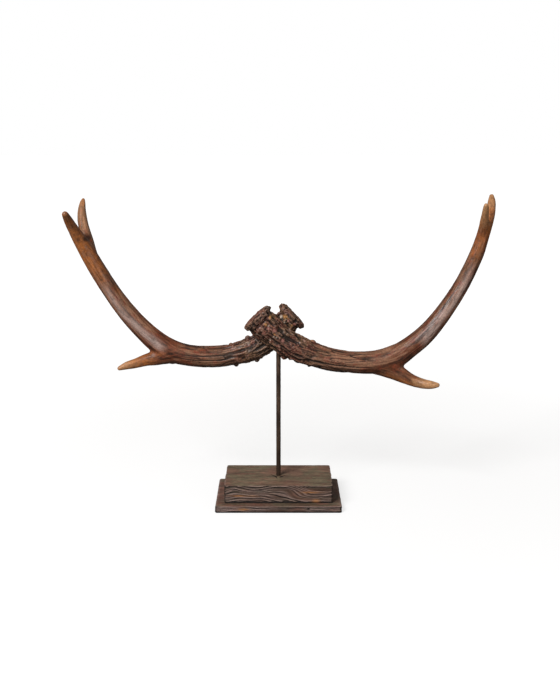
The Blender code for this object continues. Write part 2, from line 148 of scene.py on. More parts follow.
def carved_board(name, size, low, counts, cut, waves, knots, cracks, patches, dribbles, seed):
    """A board as rings, from the middle of the underside out to the rounded lower edge, up the
    edge face, round the upper edge and in to the middle of the top. The grain line of a place on
    the edge face is its height less the rise of the waves there (one row of waves for the lower
    part of the face, one for the upper), plus slow noise, and held level inside each knot. Crests
    exp(-(d / w)^2) stand at even steps of that line, each with a crevice below it, and fade in
    and out along their length. The top has shallow lines only, and cracks."""
    width, depth, height, corner, edge = size
    columns, rows, inner = counts
    spacing, deep, cells = cut
    path, along, around = rounded_outline(width, depth, corner, columns)
    bend = np.radians(np.linspace(0, 90, 6))
    into = np.linspace(1.0, 0.0, inner + 1)[1:-1] ** 1.4
    flat = len(into)
    share = np.concatenate([[0.3, 0.7, 0.97], np.ones(11 + rows), into])
    inset = np.concatenate([
        np.full(3, edge), edge * (1 - np.sin(bend)), np.zeros(rows),
        edge * (1 - np.cos(bend[1:])), np.full(flat, edge),
    ])
    level = np.concatenate([
        np.zeros(3), edge * (1 - np.cos(bend)), np.linspace(edge, height - edge, rows + 2)[1:-1],
        height - edge * (1 - np.sin(bend[1:])), np.full(flat, height),
    ])
    on_face = np.concatenate([
        np.zeros(4), np.linspace(0.3, 1, 5), np.ones(rows), np.linspace(1, 0.2, 5), np.zeros(flat),
    ])
    on_top = np.concatenate([np.zeros(9 + rows), np.linspace(0.2, 1, 5), np.ones(flat)])
    on_face, on_top = on_face[:, None], on_top[:, None]

    flat_xy = (path[None, :, :2] - path[None, :, 2:] * inset[:, None, None]) * share[:, None, None]
    x, y = flat_xy[..., 0], flat_xy[..., 1]
    z = np.repeat(level[:, None], columns, axis=1)
    round_trip = (along / around + 0.5)[None, :] * cells
    lower, upper = (rises(along, row)[None, :] for row in waves)
    line = z - lower - (upper - lower) * smooth_step(0.2, 0.8, z / height)
    line = line + 0.9 * soft_noise(seed, round_trip, z / 9, cells)
    line = line + 0.5 * soft_noise(seed + 1, 4 * round_trip, z / 4, 4 * cells)
    eyes = np.zeros_like(z)
    for at, up, wide in knots:
        line = line - (z - up) * 0.85 * patch(along[None, :], z, (at, up), (2.4 * wide, wide))
        eyes = np.maximum(eyes, patch(along[None, :], z, (at, up), (0.9 * wide, 0.42 * wide)))

    def cut_lines(step, wide, start):
        """Crest and crevice of the lines at one spacing."""
        order = np.round(line / step + start)
        offset = (line / step + start - order) * step
        come_and_go = soft_noise(seed + 2 + int(10 * start), 2 * round_trip, order * 0.77 + start, 2 * cells)
        strength = smooth_step(-0.45, 0.35, come_and_go)
        low_side = (offset + 1.7 * wide) / (0.8 * wide)
        return np.exp(-(offset / wide) ** 2) * strength, np.exp(-low_side ** 2) * strength

    crest, crevice = cut_lines(spacing, 0.2 * spacing, 0.0)
    small_crest, small_crevice = cut_lines(0.57 * spacing, 0.13 * spacing, 0.4)
    fine = 0.5 + 0.5 * soft_noise(seed + 3, 5 * round_trip, line / 0.55, 5 * cells)
    undercut_drop, undercut_wide = 2.0, 0.8
    under_edge = np.exp(-((z - height + undercut_drop) / undercut_wide) ** 2)
    under_edge = under_edge * (0.45 + 0.55 * soft_noise(seed + 8, 3 * round_trip, z * 0, 3 * cells))
    under_edge = np.clip(under_edge, 0, 1)
    hollow_face = np.clip(crevice + 0.6 * small_crevice + 0.45 * fine**2 + 0.8 * under_edge + eyes, 0, 1.4)
    carved = deep * (0.42 + 0.55 * hollow_face - 0.42 * crest - 0.25 * small_crest + 0.1 * fine) * on_face
    least_cut = 0.03
    carved = np.maximum(carved, least_cut)

    top_line = y + 3.0 * soft_noise(seed + 4, x / 60, y / 25) + 0.8 * soft_noise(seed + 5, x / 18, y / 9)
    top_fine = soft_noise(seed + 7, x / 26, top_line / 0.9) ** 2
    top_broad = 0.5 + 0.5 * soft_noise(seed + 6, x / 30, top_line / 4)
    split = sum((crack(x, y, *ends) for ends in cracks), start=np.zeros_like(x))
    sunk = (0.06 * top_fine + 0.05 * top_broad + 0.5 * split) * on_top

    out_x, out_y = path[None, :, 2], path[None, :, 3]
    rings = np.stack([x - out_x * carved, y - out_y * carved, z + low - sunk], axis=-1)
    made = closed_rings(name, rings)

    # Where the stain lies and where it is rubbed off, with painted shade along the foot and at the rounded
    # corners laid in with it, the run of the grain, and single marks.
    rim = np.clip(1 - np.abs(level - height) / 1.2, 0, 1)[:, None] * (inset < edge)[:, None]
    # Painted shadow along the foot of the board and painted shade at the rounded corners of its edge face.
    foot = 1.4 * smooth_step(3.0, 1.4, z) * (on_top < 0.1)
    corner_shade = 1.2 * np.abs(out_x * out_y) * on_face
    hollow = (0.0085 * height + hollow_face) * on_face + (1.3 * split + 0.12 * top_fine) * on_top
    hollow = hollow + foot + corner_shade
    raised = np.clip(crest + 0.8 * small_crest, 0, 1) * on_face + 0.25 * rim
    front = (y < 0) * on_face
    none = np.zeros_like(x)
    spots = [sum((patch(x, z, *place) for place in kind), start=none) * front for kind in patches]
    dribble = sum((patch(x, y, *place) for place in dribbles), start=none) * on_top
    face_grain = np.stack([x / 22, y / 22, line / 1.5], axis=-1)
    top_grain = np.stack([x / 34, top_line / 6, z * 0], axis=-1)
    stored = {
        "wear": np.stack([hollow, raised, on_top + 0 * x], axis=-1),
        "grain": np.where(on_top[..., None] > 0.5, top_grain, face_grain),
        "patches": np.stack([*spots, dribble], axis=-1),
    }
    for label, values in stored.items():
        paint(made, label, np.vstack([values.reshape(-1, 3), np.zeros((2, 3))]))
    return made


def add(tree, kind, inputs=(), **settings):
    """A shader node with its settings, and its inputs set to values or joined to other nodes."""
    made = tree.nodes.new("ShaderNode" + kind)
    for name, value in settings.items():
        setattr(made, name, value)
    for name, value in dict(inputs).items():
        if isinstance(value, bpy.types.NodeSocket):
            tree.links.new(value, made.inputs[name])
        else:
            made.inputs[name].default_value = value
    return made


def mixed(tree, factor, first, second, mode="MIX"):
    """The colour between two colours at the factor."""
    made = add(tree, "Mix", data_type="RGBA", blend_type=mode)
    for socket, value in zip((made.inputs[0], made.inputs[6], made.inputs[7]), (factor, first, second)):
        if isinstance(value, bpy.types.NodeSocket):
            tree.links.new(value, socket)
        else:
            socket.default_value = value if isinstance(value, float) else (*value[:3], 1.0)
    return made.outputs[2]


def between(tree, value, low, high, least=0.0, most=1.0):
    """The value carried from the range low to high onto least to most, and held there."""
    inputs = {"Value": value, "From Min": low, "From Max": high, "To Min": least, "To Max": most}
    return add(tree, "MapRange", inputs, interpolation_type="SMOOTHSTEP").outputs[0]


def figure(tree, operation, first, second):
    """The sum or product of two values."""
    made = add(tree, "Math", {0: first, 1: second}, operation=operation)
    return made.outputs[0]


def new_group(name, inputs, outputs):
    """A shader node group with its sockets, and the two nodes inside it that carry them."""
    group = bpy.data.node_groups.new(name, "ShaderNodeTree")
    for label, kind in inputs:
        group.interface.new_socket(label, in_out="INPUT", socket_type="NodeSocket" + kind)
    for label, kind in outputs:
        group.interface.new_socket(label, in_out="OUTPUT", socket_type="NodeSocket" + kind)
    given, out = group.nodes.new("NodeGroupInput"), group.nodes.new("NodeGroupOutput")
    return group, given.outputs, out.inputs


# Dark stain lies in the hollows and is rubbed off what stands proud. On the boards the hollows also carry
# painted shade along the foot and at the corners.
stain_group, given, out = new_group(
    "settled stain",
    [
        ("Color", "Color"), ("Hollow", "Float"), ("Raised", "Float"), ("Stain", "Color"),
        ("Rubbed", "Color"), ("Depth", "Float"), ("Rub", "Float"),
    ],
    [("Color", "Color"), ("Roughness", "Float")],
)
worn_off = figure(stain_group, "MULTIPLY", given["Raised"], given["Rub"])
product = {0: given["Hollow"], 1: given["Depth"]}
filled = add(stain_group, "Math", product, operation="MULTIPLY", use_clamp=True)
rubbed = mixed(stain_group, worn_off, given["Color"], given["Rubbed"])
stain_group.links.new(mixed(stain_group, filled.outputs[0], rubbed, given["Stain"]), out["Color"])
stain_group.links.new(between(stain_group, filled.outputs[0], 0.0, 1.0, 0.0, 0.3), out["Roughness"])

# Soft blotches of two sizes, and fine specks, from one set of coordinates.
mottle_group, given, out = new_group(
    "mottling",
    [("Vector", "Vector"), ("Scale", "Float")],
    [("Broad", "Float"), ("Small", "Float"), ("Speck", "Float")],
)
for label, times, detail in (("Broad", 1.0, 2.0), ("Small", 4.1, 3.0), ("Speck", 17.0, 4.0)):
    size = figure(mottle_group, "MULTIPLY", given["Scale"], times)
    inputs = {"Vector": given["Vector"], "Scale": size, "Detail": detail, "Roughness": 0.6}
    mottle_group.links.new(add(mottle_group, "TexNoise", inputs).outputs["Fac"], out[label])

# A colour made lighter or darker by a number that changes over the surface.
shade_group, given, out = new_group(
    "lighter or darker", [("Color", "Color"), ("By", "Float")], [("Color", "Color")]
)
evenly = add(shade_group, "CombineColor", {label: given["By"] for label in ("Red", "Green", "Blue")})
shade_group.links.new(mixed(shade_group, 1.0, given["Color"], evenly.outputs[0], "MULTIPLY"), out["Color"])


def surface(name):
    """A new material, its node tree and its shader."""
    made = bpy.data.materials.new(name)
    made.use_nodes = True
    return made, made.node_tree, made.node_tree.nodes["Principled BSDF"]


def painted(tree, name):
    """The three numbers stored on the piece under a name."""
    stored = add(tree, "Attribute", attribute_name=name)
    parts = add(tree, "SeparateXYZ", {"Vector": stored.outputs["Vector"]})
    return stored.outputs["Vector"], parts.outputs


def mottles(tree, place, scale):
    """Broad and small blotches and specks at a scale, read at the place given."""
    made = add(tree, "Group", node_tree=mottle_group)
    tree.links.new(place, made.inputs["Vector"])
    made.inputs["Scale"].default_value = scale
    return made.outputs


def shaded(tree, color, by):
    """The colour times a value."""
    made = add(tree, "Group", node_tree=shade_group)
    tree.links.new(color, made.inputs["Color"])
    tree.links.new(by, made.inputs["By"])
    return made.outputs[0]


def worn(tree, color, hollow, raised, stain, rubbed, depth, rub):
    """The colour with stain settled in the hollows and what is raised rubbed, and how much rougher
    the stain makes it."""
    made = add(tree, "Group", node_tree=stain_group)
    tree.links.new(color, made.inputs["Color"])
    tree.links.new(hollow, made.inputs["Hollow"])
    tree.links.new(raised, made.inputs["Raised"])
    for label, value in (("Stain", (*stain, 1)), ("Rubbed", (*rubbed, 1)), ("Depth", depth), ("Rub", rub)):
        made.inputs[label].default_value = value
    return made.outputs["Color"], made.outputs["Roughness"]


def carved_wood(name, brown, red, green, ochre, rubbed, stain, depth, rub, roughness):
    """Stained wood: blotches of brown, reddish and greenish brown drawn out along the grain, fine
    streaks, dark carved lines, painted shade at the foot and the corners, and crests rubbed to a pinkish
    grey."""
    made, tree, shader = surface(name)
    wear = painted(tree, "wear")[1]
    grain = painted(tree, "grain")[0]
    marks = painted(tree, "patches")[1]
    place = add(tree, "TexCoord").outputs["Object"]
    drawn_out = add(tree, "Mapping", {"Vector": place, "Scale": (0.5, 1.0, 2.6)}).outputs[0]
    spots = mottles(tree, drawn_out, 24.0)
    streaks = mottles(tree, grain, 0.5)
    color = mixed(tree, between(tree, spots["Broad"], 0.46, 0.54), brown, green)
    color = mixed(tree, between(tree, spots["Small"], 0.5, 0.62, 0.0, 0.6), color, red)
    color = mixed(tree, between(tree, streaks["Broad"], 0.5, 0.6, 0.0, 0.3), color, red)
    color = shaded(tree, color, between(tree, streaks["Broad"], 0.38, 0.62, 1.22, 0.78))
    color = shaded(tree, color, between(tree, streaks["Small"], 0.36, 0.64, 0.7, 1.3))
    color = shaded(tree, color, between(tree, wear["Z"], 0.0, 1.0, 0.68, 1.0))
    color = mixed(tree, marks["X"], color, ochre)
    color = mixed(tree, figure(tree, "MULTIPLY", marks["Y"], 0.75), color, tuple(1.15 * part for part in red))
    color = mixed(tree, figure(tree, "MULTIPLY", marks["Z"], 0.6), color, tuple(1.5 * part for part in green))
    color, rough = worn(tree, color, wear["X"], wear["Y"], stain, rubbed, depth, rub)
    color = mixed(tree, figure(tree, "MULTIPLY", marks["X"], 0.6), color, ochre)
    color = shaded(tree, color, between(tree, spots["Speck"], 0.3, 0.7, 0.82, 1.18))
    tree.links.new(color, shader.inputs["Base Color"])
    uneven = between(tree, spots["Small"], 0.3, 0.7, roughness - 0.06, roughness + 0.08)
    tree.links.new(figure(tree, "ADD", rough, uneven), shader.inputs["Roughness"])
    shader.inputs["Specular IOR Level"].default_value = 0.35
    height = figure(tree, "ADD", streaks["Small"], figure(tree, "MULTIPLY", streaks["Speck"], 0.5))
    bump = add(tree, "Bump", {"Height": height, "Strength": 0.5, "Distance": 0.0004})
    tree.links.new(bump.outputs[0], shader.inputs["Normal"])
    return made


lower_board = carved_board(
    "carved_lower_board",
    size=(180.0, 111.0, 9.5, 3.4, 1.1),
    low=0.0,
    counts=(600, 26, 40),
    cut=(2.5, 1.15, 11),
    waves=[
        [(-291, 0), (-240, 1.2), (-200, -1), (-150, 1), (-100, -1.2), (-86, -1), (-74, 1),
         (-50, 0.2), (-34, -0.8), (-20, 0.8), (0, 0.2), (14, -1.4), (28, 0.8), (42, 0),
         (56, -0.6), (86, 1), (120, -1), (180, 1), (240, -1), (291, 0)],
        [(-291, 0), (-230, -1), (-180, 1.2), (-130, -1), (-86, -1.6), (-70, 1.2), (-45, -0.4),
         (-25, 0.6), (5, -0.4), (18, 1.2), (34, 1.6), (60, 0.4), (88, 1.6), (130, -1),
         (190, 1), (291, 0)],
    ],
    knots=[(42.5, 6.0, 2.2), (-140, 5.0, 2.0), (200, 4.5, 2.4)],
    cracks=[],
    patches=[
        [((-50, 5.4), (7.0, 1.6))],
        [((-62, 5.0), (9, 1.6)), ((76, 4.5), (9, 2.0)), ((26, 6), (8, 1.6))],
    ],
    dribbles=[],
    seed=21,
)
lower_board.data.materials.append(carved_wood(
    "dark stained plank",
    brown=(0.152, 0.088, 0.064), red=(0.205, 0.088, 0.063), green=(0.138, 0.102, 0.068),
    ochre=(0.42, 0.18, 0.05), rubbed=(0.46, 0.32, 0.29), stain=(0.01, 0.006, 0.004),
    depth=0.97, rub=1.0, roughness=0.48,
))
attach(lower_board, "root")
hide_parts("lower_board")


# Upper block: solid wood, 154 x 85 x 26 mm, set in from the board's edge all round and glued to
# it. Its edge faces carry deeper carved lines that dip and sweep round knots; its top is planed
# and mottled, with short drying cracks at the hole where the rod goes in.

block_low, block_height = 9.8, 26.0
block = carved_board(
    "carved_block",
    size=(155.2, 86.2, block_height, 3.0, 1.0),
    low=block_low,
    counts=(500, 70, 56),
    cut=(3.8, 1.35, 9),
    waves=[
        [(-237, 0), (-205, -3), (-165, 2), (-120, -2), (-90, -1), (-77, -2), (-65, 0.2),
         (-52, 1.4), (-42, 0.2), (-21, 0.4), (-7, -3.2), (3, -4.6), (18, -7.6), (30, -10.8),
         (46, -13), (60, -13.4), (77, -12.5), (110, -8), (150, -11), (190, -4), (237, 0)],
        [(-237, 0), (-200, 3), (-165, -3), (-120, 2), (-90, -2), (-77, 0), (-66, 4.4), (-52, 1),
         (-40, -2.2), (-26, -2), (-13, 1.5), (-3, 2.2), (9, 2), (17, 0.6), (30, -3.4), (46, -9.4),
         (56, -10), (71, -9), (100, -6), (140, -10), (190, -3), (237, 0)],
    ],
    knots=[(8, 2.2, 2.6), (122, 14, 4.5), (-150, 11, 4.0), (205, 15, 5.0)],
    cracks=[
        ((-3.5, -5.5), (-12.0, 4.5), 1.3), ((-4.0, -5), (-1.5, -14), 0.7),
        ((3.0, -7), (9.5, -1.0), 1.2), ((3, -4), (18, 3.5), 0.6),
    ],
    patches=[
        [((46, 16.2), (12, 1.3)), ((53, 3.0), (5, 2.6)), ((-58, 10.8), (8, 0.9)), ((-38, 10.9), (9, 0.9))],
        [((41, 19), (10, 2.0)), ((40, 5), (16, 4.0)), ((-46, 17), (8, 3)), ((26, 12), (12, 4))],
    ],
    dribbles=[((-0.4, -14), (2.4, 12))],
    seed=34,
)
block.data.materials.append(carved_wood(
    "carved brown wood",
    brown=(0.186, 0.105, 0.07), red=(0.215, 0.104, 0.074), green=(0.155, 0.12, 0.074),
    ochre=(0.45, 0.19, 0.06), rubbed=(0.46, 0.31, 0.265), stain=(0.01, 0.006, 0.004),
    depth=0.97, rub=1.0, roughness=0.46,
))
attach(block, "root")
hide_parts("upper_board")


# Rod: a 6.4 mm round iron bar with a brown, slightly scaly skin. It stands in a hole in the block
# and runs up into a blind hole at the crossing, where the antlers are glued to it.

rod_radius, rod_low, rod_high, rod_chamfer, skin_thick = 3.2, 16.1, 244.0, 0.8, 0.06
sides = np.linspace(0, 2 * np.pi, 56, endpoint=False)[None, :]
heights = np.linspace(rod_low + rod_chamfer, rod_high - rod_chamfer, 380)[:, None]
dents = 0.07 * soft_noise(51, sides / (2 * np.pi) * 9, heights / 5, 9)
dents = dents + 0.05 * soft_noise(52, sides / (2 * np.pi) * 17, heights / 2, 17)
radius = rod_radius + skin_thick + dents
rod_rings = np.stack([radius * np.cos(sides), radius * np.sin(sides), heights + 0 * sides], axis=-1)
end_rings = rod_rings[[0, -1]] * np.array([0.75, 0.75, 1.0])
end_rings[0, :, 2] = rod_low
end_rings[1, :, 2] = rod_high
rod = closed_rings("iron_rod", np.concatenate([end_rings[:1], rod_rings, end_rings[1:]]))
iron, tree, shader = surface("brown iron")
dark_skin, worn_skin, black_scale = (0.07, 0.046, 0.033), (0.17, 0.105, 0.07), (0.025, 0.015, 0.011)
place = add(tree, "TexCoord").outputs["Object"]
stretched = add(tree, "Mapping", {"Vector": place, "Scale": (1.0, 1.0, 0.18)}).outputs[0]
scale_spots = mottles(tree, stretched, 130.0)
color = mixed(tree, between(tree, scale_spots["Broad"], 0.4, 0.65), dark_skin, worn_skin)
color = mixed(tree, between(tree, scale_spots["Small"], 0.55, 0.7), color, black_scale)
tree.links.new(color, shader.inputs["Base Color"])
tree.links.new(between(tree, scale_spots["Small"], 0.3, 0.7, 0.4, 0.52), shader.inputs["Roughness"])
shader.inputs["Metallic"].default_value = 0.7
bump = add(tree, "Bump", {"Height": scale_spots["Speck"], "Strength": 0.4, "Distance": 0.0002})
tree.links.new(bump.outputs[0], shader.inputs["Normal"])
rod.data.materials.append(iron)
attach(rod, "root")
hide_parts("rod")


# Left antler: solid antler, shed whole, with a beaded burr, a beam that turns up past its lower
# tine, and a forked crown. It lies behind at the crossing, hollowed there to take the other one
# and glued to it, so its burr is the right-hand one. Rubbed brown with stain left in the grooves.

# The height of the crossing in mm. All places on the antlers are x, y and z in mm from there, each
# station of a stem and each bead with its radius. A burr has its middle, axis, radius and half its
# thickness. The chips and shadow spots are x, z and size: ochre, bone white and pinkish chips, and dark spots
# of painted shadow.
crossing = 240.0
left_stations = {
    "beam": [
        (19.4, 11, 29.2, 16.6), (11.2, 11, 21.4, 17), (-0.2, 10, 11.6, 17.4), (-15, 9, -3.1, 17.2),
        (-32, 7, -14.5, 16.7), (-52, 5.5, -21.7, 15.6), (-73, 4, -25.9, 14.8), (-96, 2, -26.9, 14.6),
        (-118, 0, -25.4, 14.5), (-139, -2, -21.2, 15.1), (-159.5, -3, -12.5, 15.8), (-177.6, -4, 1.8, 14.8),
        (-196.9, -5, 21.6, 13.4), (-215, -6, 44.2, 12.6), (-231.7, -8, 69.4, 11.8), (-246.2, -10.5, 95, 11.6),
        (-259.1, -13, 119.8, 11.2), (-268.2, -19, 138.8, 9.7), (-274.2, -28, 154.3, 8),
        (-278.2, -38, 167.4, 6.3), (-280.8, -46.5, 177.3, 4.2),
    ],
    "high_point": [
        (-257, -11, 122, 9.1), (-262, -4, 139, 8.6), (-267.2, 5, 152, 7.8), (-271.4, 14, 165, 7),
        (-273.2, 22, 178, 5.3), (-272.8, 27, 187.5, 3.7), (-272.2, 29.5, 191.6, 2.3),
    ],
    "lower_tine": [
        (-146, -3, -20, 13), (-160, -5, -22.6, 12.8), (-173, -8, -26.2, 10.7), (-186, -11, -28.3, 8.9),
        (-198, -15, -31.5, 7.4), (-211, -20, -34, 5.6), (-221.6, -25, -37, 2.8),
    ],
}
left_burr = ((18.4, 11.0, 30.4), (0.72, 0.0, 0.70), 22.2, 4.4)
left_beads = [
    (-30.6, 7, -31.4, 4.4), (-60.6, 5, -38.4, 4.4), (-43.4, 6, -1.4, 3.8), (-67.3, 4, -10.4, 2.8),
    (-160, -3, -28.0, 8.6), (-150, -3, -28.0, 8.4), (-141, -2, -28.8, 8.0),
    (-164, -4.5, -17, 12.5), (-151, -3, -17, 14),
]
left_forks = [(-179, -5, -15.5), (-266, -12, 145)]
left_chips_and_shadows = [
    [(9.4, 32.6, 3.2), (13.0, 30.0, 1.3), (19.0, 20.5, 1.2)],
    [(3.9, 31.6, 2.0), (8.4, 24.3, 1.2), (29.0, 29.0, 0.9)],
    [(14.5, 27.5, 2.0), (22.0, 22.0, 2.2), (30.0, 21.0, 1.6)],
    [(-259.5, 143, 4.0), (21.5, 10.5, 4.0), (4.5, 25.0, 3.0)],
]


def cloud(seed, x, y, z):
    """Smooth noise from -1 to 1 in space: seeded values at whole numbers, eased between them by
    3 t^2 - 2 t^3 along each of the three directions."""
    table = np.random.default_rng(seed).uniform(-1.0, 1.0, (32, 32, 32))
    cells = [np.floor(value).astype(int) for value in (x, y, z)]
    parts = [smooth_step(0, 1, value - cell) for value, cell in zip((x, y, z), cells)]
    total = np.zeros_like(parts[0])
    for corner in np.ndindex(2, 2, 2):
        weight = np.prod([part if step else 1 - part for part, step in zip(parts, corner)], axis=0)
        total += weight * table[tuple((cell + step) % 32 for cell, step in zip(cells, corner))]
    return total


def centre_line(stations, steps=8):
    """A smooth line through the stations: on each span the cubic that passes both ends with the
    slope of their neighbours' chord. Each sample is x, y, z, radius."""
    given = np.array(stations, float)
    padded = np.vstack([2 * given[0] - given[1], given, 2 * given[-1] - given[-2]])
    t = np.linspace(0, 1, steps, endpoint=False)[None, :, None]
    a, b, c, d = (padded[k:len(padded) - 3 + k, None] for k in range(4))
    spans = 0.5 * (2 * b + (c - a) * t + (2 * a - 5 * b + 4 * c - d) * t**2 + (3 * b - a - 3 * c + d) * t**3)
    return np.vstack([spans.reshape(-1, 4), given[-1:]])


def directions(line):
    """At each sample the unit vector along the line and two across it, one of them in the
    antler's own plane."""
    along = np.gradient(line[:, :3], axis=0)
    along /= np.linalg.norm(along, axis=1, keepdims=True)
    across = np.cross(along, (0.0, 1.0, 0.0))
    across /= np.linalg.norm(across, axis=1, keepdims=True)
    return along, across, np.cross(across, along)


def stem(line, sides=36):
    """Rings of radius r round the centre line, and a half ball on its end whose rings shrink by
    the cosine as they move on by the sine."""
    along, across, other = directions(line)
    dome = np.radians(np.array([20, 40, 60, 78]))
    centres = np.vstack([line[:, :3], line[-1, :3] + np.outer(line[-1, 3] * np.sin(dome), along[-1])])
    radii = np.concatenate([line[:, 3], line[-1, 3] * np.cos(dome)])
    across = np.vstack([across, np.repeat(across[-1:], len(dome), axis=0)])
    other = np.vstack([other, np.repeat(other[-1:], len(dome), axis=0)])
    angle = np.linspace(0, 2 * np.pi, sides, endpoint=False)[None, :, None]
    ring = np.cos(angle) * across[:, None] + np.sin(angle) * other[:, None]
    return centres[:, None] + radii[:, None, None] * ring


def lumps(centres, axes, across, along, square=1.0):
    """Egg-shaped lumps: a ball's rings, stretched along each lump's axis and moved to its place.
    The sine and cosine of the latitude are raised to the power given, and below 1 that squares
    the lump towards a thick round plate."""
    rise = np.radians(np.linspace(-80, 80, 9))
    turn = np.linspace(0, 2 * np.pi, 14, endpoint=False)
    axes = np.array(axes, float) / np.linalg.norm(axes, axis=1, keepdims=True)
    side = np.cross(axes, (0.0, 1.0, 0.013))
    side /= np.linalg.norm(side, axis=1, keepdims=True)
    front = np.cross(axes, side)
    ring = np.cos(turn)[:, None] * side[:, None] + np.sin(turn)[:, None] * front[:, None]
    wide, high = np.cos(rise) ** square, np.sign(rise) * np.abs(np.sin(rise)) ** square
    flat = wide[None, :, None, None] * ring[:, None] * np.array(across)[:, None, None, None]
    up = high[None, :, None, None] * axes[:, None, None] * np.array(along)[:, None, None, None]
    return np.array(centres, float)[:, None, None] + flat + up


def joined_shell(name, shells, voxel):
    """One closed skin round all the shells, wrapped by a fine grid of cubes."""
    parts = [closed_rings("shell", rings) for rings in shells]
    vertices, faces, start = [], [], 0
    for part in parts:
        points = np.empty(3 * len(part.data.vertices), np.float32)
        part.data.vertices.foreach_get("co", points)
        vertices.append(points.reshape(-1, 3))
        faces += [[start + k for k in face.vertices] for face in part.data.polygons]
        start += len(part.data.vertices)
        bpy.data.objects.remove(part)
    mesh = bpy.data.meshes.new(name)
    mesh.from_pydata(np.vstack(vertices).tolist(), [], faces)
    whole = bpy.data.objects.new(name, mesh)
    bpy.context.scene.collection.objects.link(whole)
    wrap = whole.modifiers.new("Skin", "REMESH")
    wrap.mode = "VOXEL"
    wrap.voxel_size = voxel * MM
    bpy.context.view_layer.update()
    graph = bpy.context.evaluated_depsgraph_get()
    skin = bpy.data.meshes.new_from_object(whole.evaluated_get(graph))
    whole.modifiers.clear()
    whole.data = skin
    skin.name = name
    skin.shade_smooth()
    return whole


def read_mesh(mesh):
    """The mesh's points in mm, and the two point numbers of each edge."""
    points = np.empty(3 * len(mesh.vertices), np.float32)
    mesh.vertices.foreach_get("co", points)
    edges = np.empty(2 * len(mesh.edges), np.int32)
    mesh.edges.foreach_get("vertices", edges)
    return points.reshape(-1, 3).astype(float) / MM, edges.reshape(-1, 2)


def read_normals(mesh):
    """The outward direction at each point of the mesh."""
    mesh.update()
    normals = np.empty(3 * len(mesh.vertices), np.float32)
    mesh.vertices.foreach_get("normal", normals)
    return normals.reshape(-1, 3).astype(float)


def evened(values, edges, times, amount=0.5):
    """Each value moved part of the way to the mean of its neighbours, again and again."""
    first, second = np.concatenate([edges, edges[:, ::-1]]).T
    count = np.bincount(first, minlength=len(values))[:, None]
    for _ in range(times):
        total = np.stack([np.bincount(first, column[second], len(values)) for column in values.T], axis=1)
        values = values + amount * (total / count - values)
    return values


def places(points, line):
    """For each point, how far along the line its nearest sample is, the angle round it, the
    line's radius there, the distance from it as a share of that radius, and the line's length."""
    along, across, other = directions(line)
    travelled = np.concatenate([[0.0], np.cumsum(np.linalg.norm(np.diff(line[:, :3], axis=0), axis=1))])
    near = np.concatenate([
        np.linalg.norm(block[:, None] - line[None, :, :3], axis=2).argmin(axis=1)
        for block in np.array_split(points, 24)
    ])
    onward = ((points - line[near, :3]) * along[near]).sum(axis=1)
    beside = np.clip(near + np.sign(onward).astype(int), 0, len(line) - 1)
    gap = np.maximum(np.abs(travelled[beside] - travelled[near]), 0.001)
    part = (np.clip(np.abs(onward) / gap, 0, 0.5) * (beside != near))[:, None]
    foot, side, front = (
        given[near] + (given[beside] - given[near]) * part for given in (line, across, other)
    )
    arm = points - foot[:, :3]
    angle = np.arctan2((arm * front).sum(axis=1), (arm * side).sum(axis=1))
    reach = np.linalg.norm(arm, axis=1) / foot[:, 3]
    return travelled[near] + onward, angle, foot[:, 3], reach, travelled[-1]


def grooves(seed, way, angle, radius, deep):
    """Height of the grown surface in mm, and how far into a groove each point lies. With the
    place on the stem as (length, r cos, r sin) and noise stretched along the length, a groove
    runs wherever the noise n passes through zero, exp(-(n / w)^2), in three sizes."""
    b, c = radius * np.cos(angle), radius * np.sin(angle)
    swell = cloud(seed, way / 70, b / 8, c / 8)
    wide = np.exp(-(cloud(seed + 1, way / 42, b / 6.5, c / 6.5) / 0.13) ** 2)
    narrow = np.exp(-(cloud(seed + 2, way / 26, b / 3.8, c / 3.8) / 0.1) ** 2)
    thin = np.exp(-(cloud(seed + 3, way / 16, b / 2.0, c / 2.0) / 0.16) ** 2)
    fine = cloud(seed + 4, way / 7, b / 1.3, c / 1.3)
    height = deep * (1.3 * swell - 1.2 * wide - 0.45 * narrow) - (0.08 + 0.06 * deep) * thin + 0.1 * fine
    return height, np.clip(deep * wide + (0.3 + 0.3 * deep) * narrow + 0.22 * thin, 0, 1)


def rugged(seed, a, b, c):
    """Sharp, branching ridges: 1 - 3 |n| where noise n passes through zero, at two sizes."""
    large = 1 - 3.0 * np.abs(cloud(seed, a, b, c))
    small = 1 - 3.0 * np.abs(cloud(seed + 1, 2.1 * a, 2.1 * b, 2.1 * c))
    return 0.75 * large + 0.25 * small


def moved(piece, points):
    """Puts the points of the mesh at places given in mm, and gives back their normals."""
    piece.data.vertices.foreach_set("co", (points * MM).astype(np.float32).ravel())
    return read_normals(piece.data)


def burr_shells(centre, axis, across, other, radius, half_thick, chance):
    """A thick round plate for the burr, and lumps at uneven steps round its rim."""
    count, squared = 15, 0.36
    knob = 2 * np.pi * (np.arange(count) + chance.uniform(-0.25, 0.25, count)) / count
    out = radius * chance.uniform(0.86, 0.9, count)
    rim = centre + out[:, None] * (np.cos(knob)[:, None] * across + np.sin(knob)[:, None] * other)
    rim = rim + chance.uniform(-0.4, 1.5, count)[:, None] * axis
    width = chance.uniform(2.6, 3.3, count)
    plate = lumps([centre], [axis], [radius], [half_thick], squared)
    return [*plate, *lumps(rim, np.tile(axis, (count, 1)), width, 1.3 * width)]


def wrapped(name, shells, forks):
    """The shells as one skin, evened a little all over and much more round the forks, where the
    joins become smooth webs. Gives the piece, its points from the crossing, and its edges."""
    voxel, web_reach, web_passes, passes = 0.88, 50.0, 70, 2
    whole = joined_shell(name, shells, voxel)
    points, edges = read_mesh(whole.data)
    away = np.min([np.linalg.norm(points - fork, axis=1) for fork in forks], axis=0)
    close = np.clip(1 - away / web_reach, 0, 1)
    soft = evened(points, edges, web_passes)
    points = points + (soft - points) * smooth_step(0, 0.6, close)[:, None]
    return whole, evened(points, edges, passes), edges


